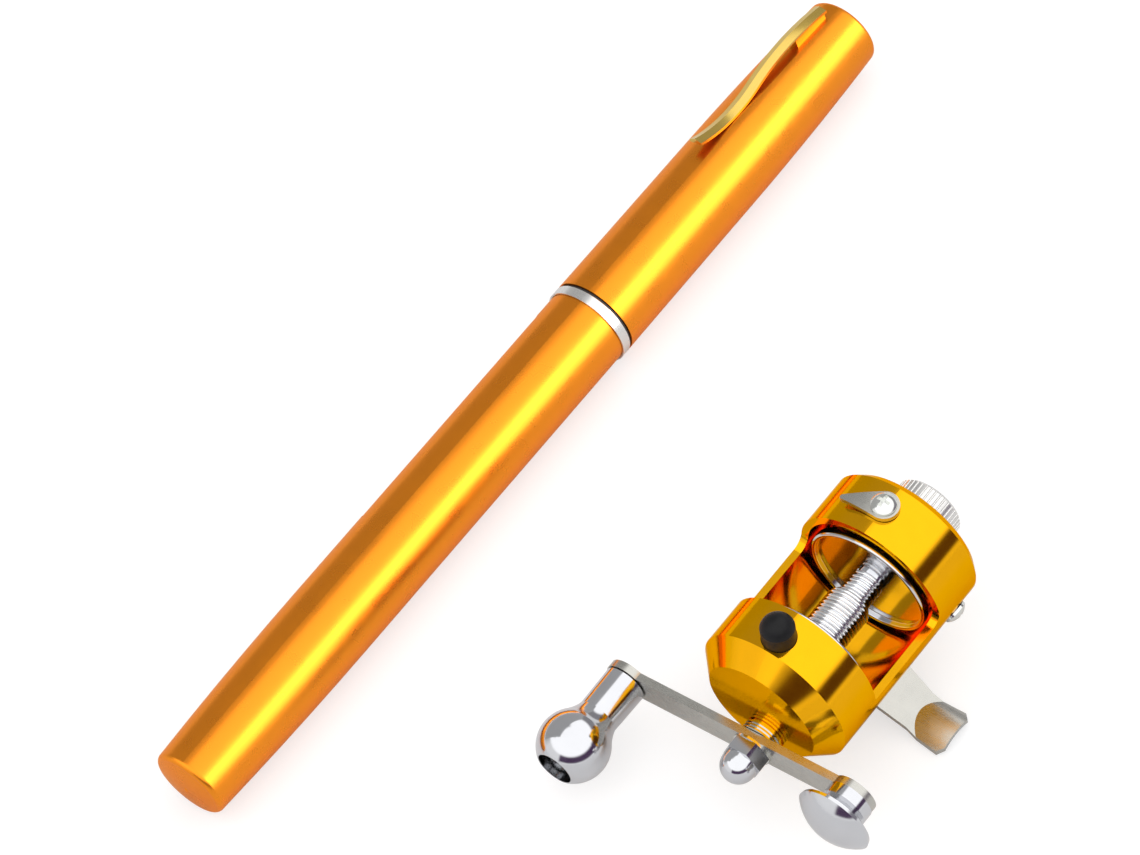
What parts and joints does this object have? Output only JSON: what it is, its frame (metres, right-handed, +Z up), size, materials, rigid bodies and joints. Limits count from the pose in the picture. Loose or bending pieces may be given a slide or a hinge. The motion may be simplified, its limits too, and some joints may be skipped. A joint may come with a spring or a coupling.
{
  "type": "pocket fishing rod and reel",
  "caption": "Closed pen-shaped telescopic fishing rod in gold aluminium with a pocket clip, beside a small drum reel with crank, spool, button and saddle foot.",
  "frame": {"origin": "middle of the pair seen from above, on the surface that both stand on", "axes": "+X along the closed rod towards the top of its cap, +Y from the reel towards the rod, +Z up"},
  "size_m": [0.205, 0.1224, 0.0437],
  "materials": {
    "pen_gold": "satin",
    "reel_gold": "gloss",
    "satin_aluminium": "satin",
    "gilt": "gloss",
    "bright_chrome": "gloss",
    "satin_steel": "satin",
    "bright_steel": "gloss",
    "black_rubber": "matt",
    "black_plastic": "matt",
    "glass_fibre": "gloss",
    "soft_brass": "satin",
    "clear_line": "gloss",
    "red_gasket": "matt"
  },
  "bodies": {
    "handle": {"barrel": "pen_gold", "end_plug": "pen_gold", "bumper": "black_rubber", "seat_collar": "black_plastic"},
    "lock_ring": {"lock_ring": "satin_aluminium"},
    "cap": {"cap_shell": "pen_gold", "cap_liner": "black_plastic", "cap_plug": "pen_gold", "pocket_clip": "gilt", "clip_block": "gilt", "clip_rivet": "bright_steel"},
    "section_1": {"rod_section_1": "glass_fibre", "ferrule_1": "bright_steel"},
    "section_2": {"rod_section_2": "glass_fibre", "guide_2": "bright_steel"},
    "section_3": {"rod_section_3": "glass_fibre", "guide_3": "bright_steel"},
    "section_4": {"rod_section_4": "glass_fibre", "guide_4": "bright_steel"},
    "section_5": {"rod_section_5": "glass_fibre", "guide_5": "bright_steel"},
    "tip": {"rod_tip": "glass_fibre", "tip_guide": "bright_steel"},
    "reel": {"reel_frame": "reel_gold", "side_cover": "reel_gold", "shaft_bush": "bright_steel", "end_cap": "reel_gold", "side_screws": "bright_steel", "near_bush": "soft_brass", "far_bush": "soft_brass", "yoke_posts": "bright_steel", "reel_foot": "satin_steel", "foot_pad": "red_gasket", "foot_screws": "bright_steel"},
    "crank": {"crank_shaft": "bright_steel", "drive_gear": "soft_brass", "crank_plate": "satin_steel", "spring_washer": "bright_steel", "acorn_nut": "bright_chrome", "grip_axle": "bright_steel", "counterweight": "bright_chrome", "counterweight_rivet": "bright_steel"},
    "grip": {"handle_knob": "bright_chrome"},
    "spool": {"spool": "bright_chrome", "spool_shaft": "bright_steel", "drive_pin": "bright_steel", "line_winding": "clear_line", "click_wheel": "soft_brass"},
    "button": {"button_cap": "black_rubber", "button_stem": "black_plastic", "button_spring": "bright_steel"},
    "yoke": {"clutch_yoke": "bright_steel"},
    "pinion": {"pinion": "soft_brass"},
    "click": {"pivot_screw": "bright_steel", "click_lever": "satin_steel", "click_pawl": "bright_steel"},
    "tension": {"tension_knob": "satin_aluminium", "tension_shim": "soft_brass"}
  },
  "joints": [
    {"name": "lock_ring_slide", "type": "slide", "parent": "handle", "child": "lock_ring", "axis": [-1, 0, 0], "range_m": [0, 0.024]},
    {"name": "cap_pull", "type": "slide", "parent": "handle", "child": "cap", "axis": [1, 0, 0], "range_m": [0, 0.86]},
    {"name": "section_1_slide", "type": "slide", "parent": "handle", "child": "section_1", "axis": [1, 0, 0], "range_m": [0, 0.098]},
    {"name": "section_2_slide", "type": "slide", "parent": "section_1", "child": "section_2", "axis": [1, 0, 0], "range_m": [0, 0.1195]},
    {"name": "section_3_slide", "type": "slide", "parent": "section_2", "child": "section_3", "axis": [1, 0, 0], "range_m": [0, 0.1275]},
    {"name": "section_4_slide", "type": "slide", "parent": "section_3", "child": "section_4", "axis": [1, 0, 0], "range_m": [0, 0.1355]},
    {"name": "section_5_slide", "type": "slide", "parent": "section_4", "child": "section_5", "axis": [1, 0, 0], "range_m": [0, 0.1435]},
    {"name": "tip_slide", "type": "slide", "parent": "section_5", "child": "tip", "axis": [1, 0, 0], "range_m": [0, 0.1515]},
    {"name": "reel_lift", "type": "slide", "parent": "handle", "child": "reel", "axis": [0, 0, 1], "range_m": [0, 0.06]},
    {"name": "crank_spin", "type": "hinge", "parent": "reel", "child": "crank", "pos_m": [-0.0391, -0.03172, 0.01529], "axis": [1, 0, 0], "continuous": true},
    {"name": "grip_spin", "type": "hinge", "parent": "crank", "child": "grip", "pos_m": [-0.0471, -0.00254, 0.01093], "axis": [1, 0, 0], "continuous": true},
    {"name": "spool_spin", "type": "hinge", "parent": "reel", "child": "spool", "pos_m": [-0.0131, -0.03172, 0.02274], "axis": [1, 0, 0], "continuous": true},
    {"name": "button_press", "type": "slide", "parent": "reel", "child": "button", "axis": [0, 0, -1], "range_m": [0, 0.0012], "stiffness_N_per_m": 600, "deforming": ["button_spring"]},
    {"name": "yoke_shift", "type": "slide", "parent": "reel", "child": "yoke", "axis": [-1, 0, 0], "range_m": [0, 0.0012]},
    {"name": "pinion_shift", "type": "slide", "parent": "spool", "child": "pinion", "axis": [-1, 0, 0], "range_m": [0, 0.0012]},
    {"name": "click_turn", "type": "hinge", "parent": "reel", "child": "click", "pos_m": [0.0024, -0.03172, 0.03674], "axis": [0, 0, 1], "range_deg": [0, 22]},
    {"name": "tension_turn", "type": "hinge", "parent": "reel", "child": "tension", "pos_m": [0.0119, -0.03172, 0.02274], "axis": [1, 0, 0], "range_deg": [-180, 180]}
  ],
  "couplings": [
    {"joint": "section_1_slide", "follows": "cap_pull", "ratio": 0.11395},
    {"joint": "section_2_slide", "follows": "cap_pull", "ratio": 0.13895},
    {"joint": "section_3_slide", "follows": "cap_pull", "ratio": 0.14825},
    {"joint": "section_4_slide", "follows": "cap_pull", "ratio": 0.15756},
    {"joint": "section_5_slide", "follows": "cap_pull", "ratio": 0.16686},
    {"joint": "tip_slide", "follows": "cap_pull", "ratio": 0.17616},
    {"joint": "spool_spin", "follows": "crank_spin", "ratio": -2.0833},
    {"joint": "yoke_shift", "follows": "button_press", "ratio": 1},
    {"joint": "pinion_shift", "follows": "button_press", "ratio": 1}
  ]
}
